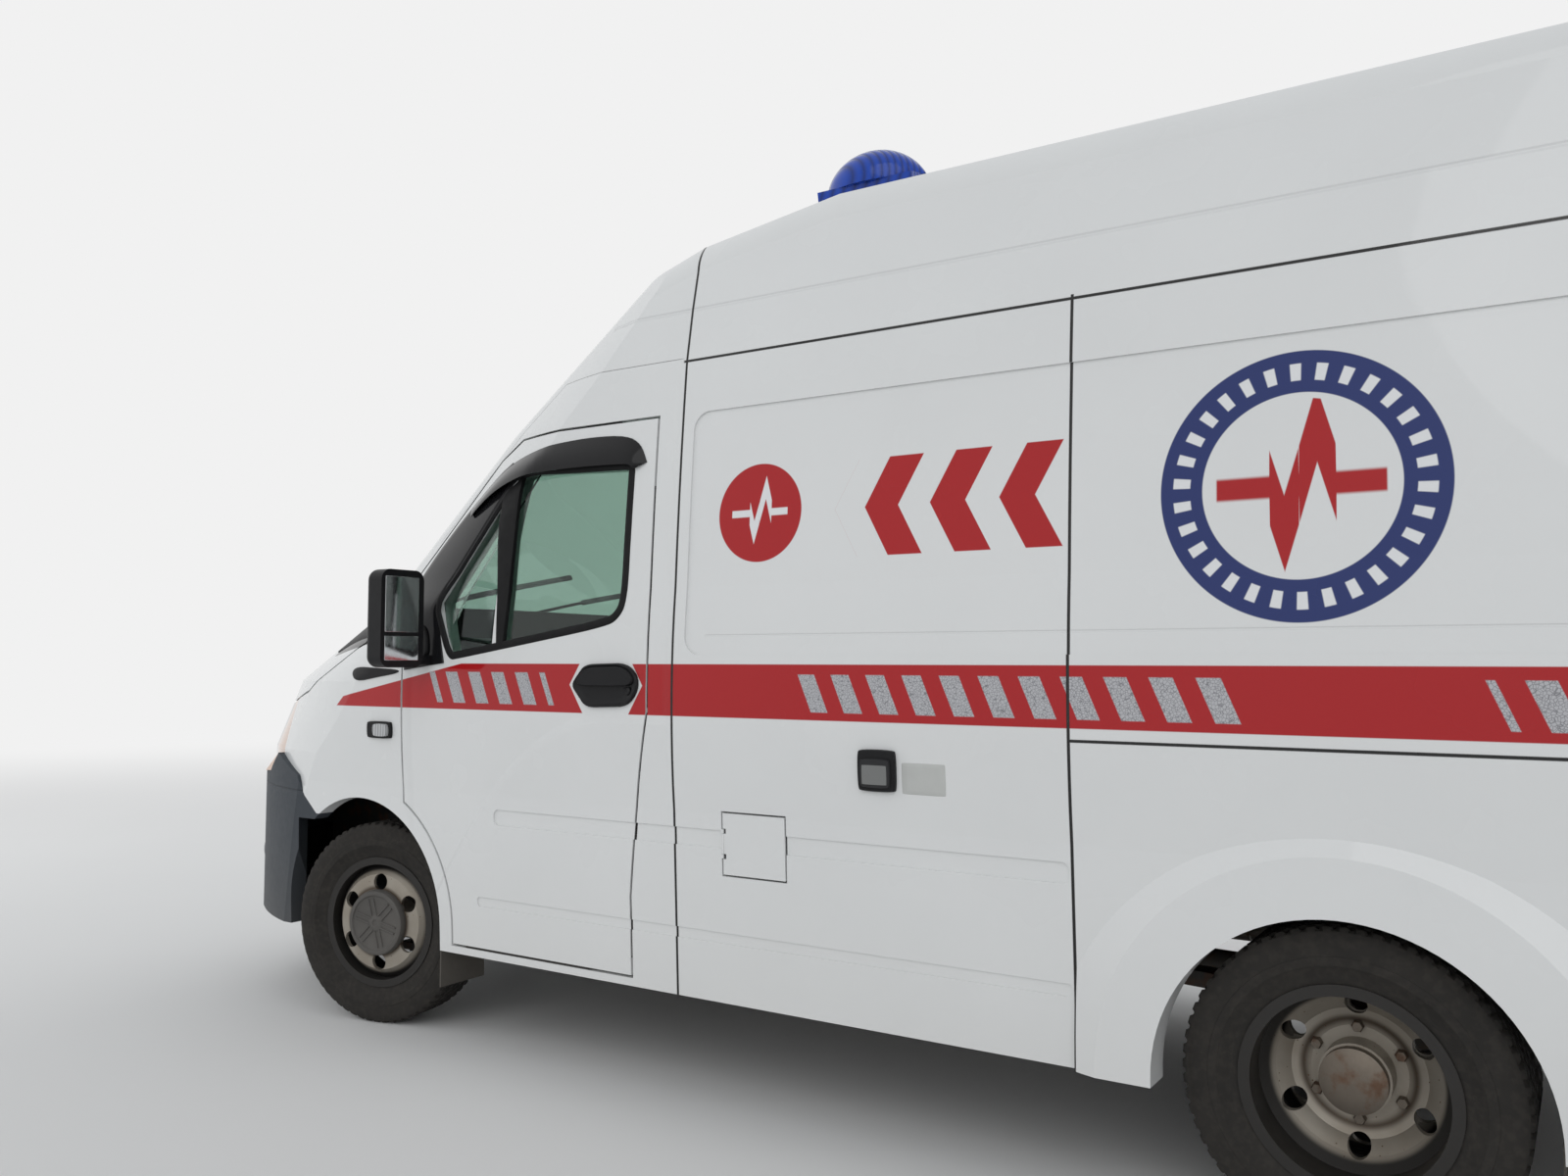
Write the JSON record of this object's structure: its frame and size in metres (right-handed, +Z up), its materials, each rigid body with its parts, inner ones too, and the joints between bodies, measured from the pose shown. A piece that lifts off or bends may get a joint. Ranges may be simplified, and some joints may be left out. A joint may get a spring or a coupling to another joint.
{
  "type": "high-roof van ambulance",
  "caption": "Ambulance on a short high-roof panel van that rolls and steers on twin-rear wheels, with opening cab doors, rear doors, bonnet and fuel flap.",
  "frame": {"origin": "on the ground under the middle of the van's overall length and width", "axes": "+X forward, +Y to the van's left, +Z up"},
  "size_m": [5.6068, 2.512, 2.7901],
  "materials": {
    "body_paint": "gloss, lightly dusty",
    "window_glass": "greenish tint, polished",
    "headlamp_lens": "clear, fluted",
    "tail_lamp_lens": "gloss red",
    "beacon_lens": "gloss clear blue",
    "grille_plastic": "grained",
    "bumper_plastic": "grained, faded",
    "mirror_plastic": "grained",
    "chassis_steel": "satin black, road dirt",
    "cab_lining": "grained grey",
    "steering_plastic": "soft grain",
    "seat_fabric": "woven",
    "engine_metal": "raw casting",
    "exhaust_steel": "dull, heat stained",
    "tank_plastic": "moulded",
    "wheel_steel": "silver paint, dusty",
    "tyre_rubber": "matt, dusty",
    "flap_rubber": "matt"
  },
  "bodies": {
    "body": {"roof": "body_paint", "cab_roof": "body_paint", "rear_quarters_upper": "body_paint", "rear_quarters_lower": "body_paint", "side_panel_left": "body_paint", "side_frame_right": "body_paint", "sliding_door": "body_paint", "cab_sides": "body_paint", "cowl": "grille_plastic", "fenders": "body_paint", "headlamps": "headlamp_lens", "grille": "grille_plastic", "front_bumper": "bumper_plastic", "windscreen": "window_glass", "rear_frame": "body_paint", "rear_bumper": "bumper_plastic", "tail_lamps": "tail_lamp_lens", "floor_frame": "chassis_steel", "bulkhead": "cab_lining", "rear_axle": "chassis_steel", "leaf_springs": "chassis_steel", "front_arms": "chassis_steel", "front_struts": "chassis_steel", "engine": "engine_metal", "propshaft": "chassis_steel", "exhaust": "exhaust_steel", "fuel_tank": "tank_plastic", "dashboard": "cab_lining", "seats": "seat_fabric", "beacons": "beacon_lens", "mud_flaps": "flap_rubber"},
    "bonnet": {"bonnet": "body_paint"},
    "fuel_flap": {"fuel_flap": "body_paint"},
    "door_left": {"door_left": "body_paint", "door_glass_left": "window_glass", "mirror_left": "mirror_plastic"},
    "door_right": {"door_right": "body_paint", "door_glass_right": "window_glass", "mirror_right": "mirror_plastic"},
    "rear_door_left": {"rear_door_left": "body_paint", "rear_glass_left": "window_glass"},
    "rear_door_right": {"rear_door_right": "body_paint", "rear_glass_right": "window_glass"},
    "steering_wheel": {"steering_wheel": "steering_plastic"},
    "knuckle_left": {"knuckle_left": "chassis_steel"},
    "knuckle_right": {"knuckle_right": "chassis_steel"},
    "wheel_front_left": {"rim_front_left": "wheel_steel", "tyre_front_left": "tyre_rubber"},
    "wheel_front_right": {"rim_front_right": "wheel_steel", "tyre_front_right": "tyre_rubber"},
    "wheels_rear_left": {"rims_rear_left": "wheel_steel", "tyres_rear_left": "tyre_rubber"},
    "wheels_rear_right": {"rims_rear_right": "wheel_steel", "tyres_rear_right": "tyre_rubber"}
  },
  "joints": [
    {"name": "steer_left", "type": "hinge", "parent": "body", "child": "knuckle_left", "pos_m": [1.7735, 0.76, 0.342], "axis": [0, 0, 1], "range_deg": [-47, 23]},
    {"name": "steer_right", "type": "hinge", "parent": "body", "child": "knuckle_right", "pos_m": [1.7735, -0.76, 0.342], "axis": [0, 0, 1], "range_deg": [-47, 23]},
    {"name": "steering_wheel_turn", "type": "hinge", "parent": "body", "child": "steering_wheel", "pos_m": [0.96, 0.43, 1.13], "axis": [-0.5, 0, 0.866], "range_deg": [-705, 345]},
    {"name": "spin_front_left", "type": "hinge", "parent": "knuckle_left", "child": "wheel_front_left", "pos_m": [1.74959, 0.87249, 0.342], "axis": [-0.2079, 0.9781, 0], "continuous": true},
    {"name": "spin_front_right", "type": "hinge", "parent": "knuckle_right", "child": "wheel_front_right", "pos_m": [1.79741, -0.87249, 0.342], "axis": [-0.2079, 0.9781, 0], "continuous": true},
    {"name": "spin_rear_left", "type": "hinge", "parent": "body", "child": "wheels_rear_left", "pos_m": [-1.3715, 0.78, 0.342], "axis": [0, 1, 0], "continuous": true},
    {"name": "spin_rear_right", "type": "hinge", "parent": "body", "child": "wheels_rear_right", "pos_m": [-1.3715, -0.78, 0.342], "axis": [0, 1, 0], "continuous": true},
    {"name": "door_left_swing", "type": "hinge", "parent": "body", "child": "door_left", "pos_m": [1.46, 1.012, 1.065], "axis": [0, 0, 1], "range_deg": [-70, 0]},
    {"name": "door_right_swing", "type": "hinge", "parent": "body", "child": "door_right", "pos_m": [1.46, -1.012, 1.065], "axis": [0, 0, 1], "range_deg": [0, 70]},
    {"name": "rear_door_left_swing", "type": "hinge", "parent": "body", "child": "rear_door_left", "pos_m": [-2.7485, 0.865, 1.5], "axis": [0, 0, 1], "range_deg": [-180, 0]},
    {"name": "rear_door_right_swing", "type": "hinge", "parent": "body", "child": "rear_door_right", "pos_m": [-2.7485, -0.865, 1.5], "axis": [0, 0, 1], "range_deg": [0, 180]},
    {"name": "bonnet_lift", "type": "hinge", "parent": "body", "child": "bonnet", "pos_m": [1.862, 0, 1.385], "axis": [0, -1, 0], "range_deg": [0, 60]},
    {"name": "fuel_flap_swing", "type": "hinge", "parent": "body", "child": "fuel_flap", "pos_m": [0.211, 1.015, 0.741], "axis": [0, 0, 1], "range_deg": [-100, 0]}
  ],
  "couplings": [
    {"joint": "steer_right", "follows": "steer_left", "ratio": 1},
    {"joint": "steering_wheel_turn", "follows": "steer_left", "ratio": 15}
  ]
}
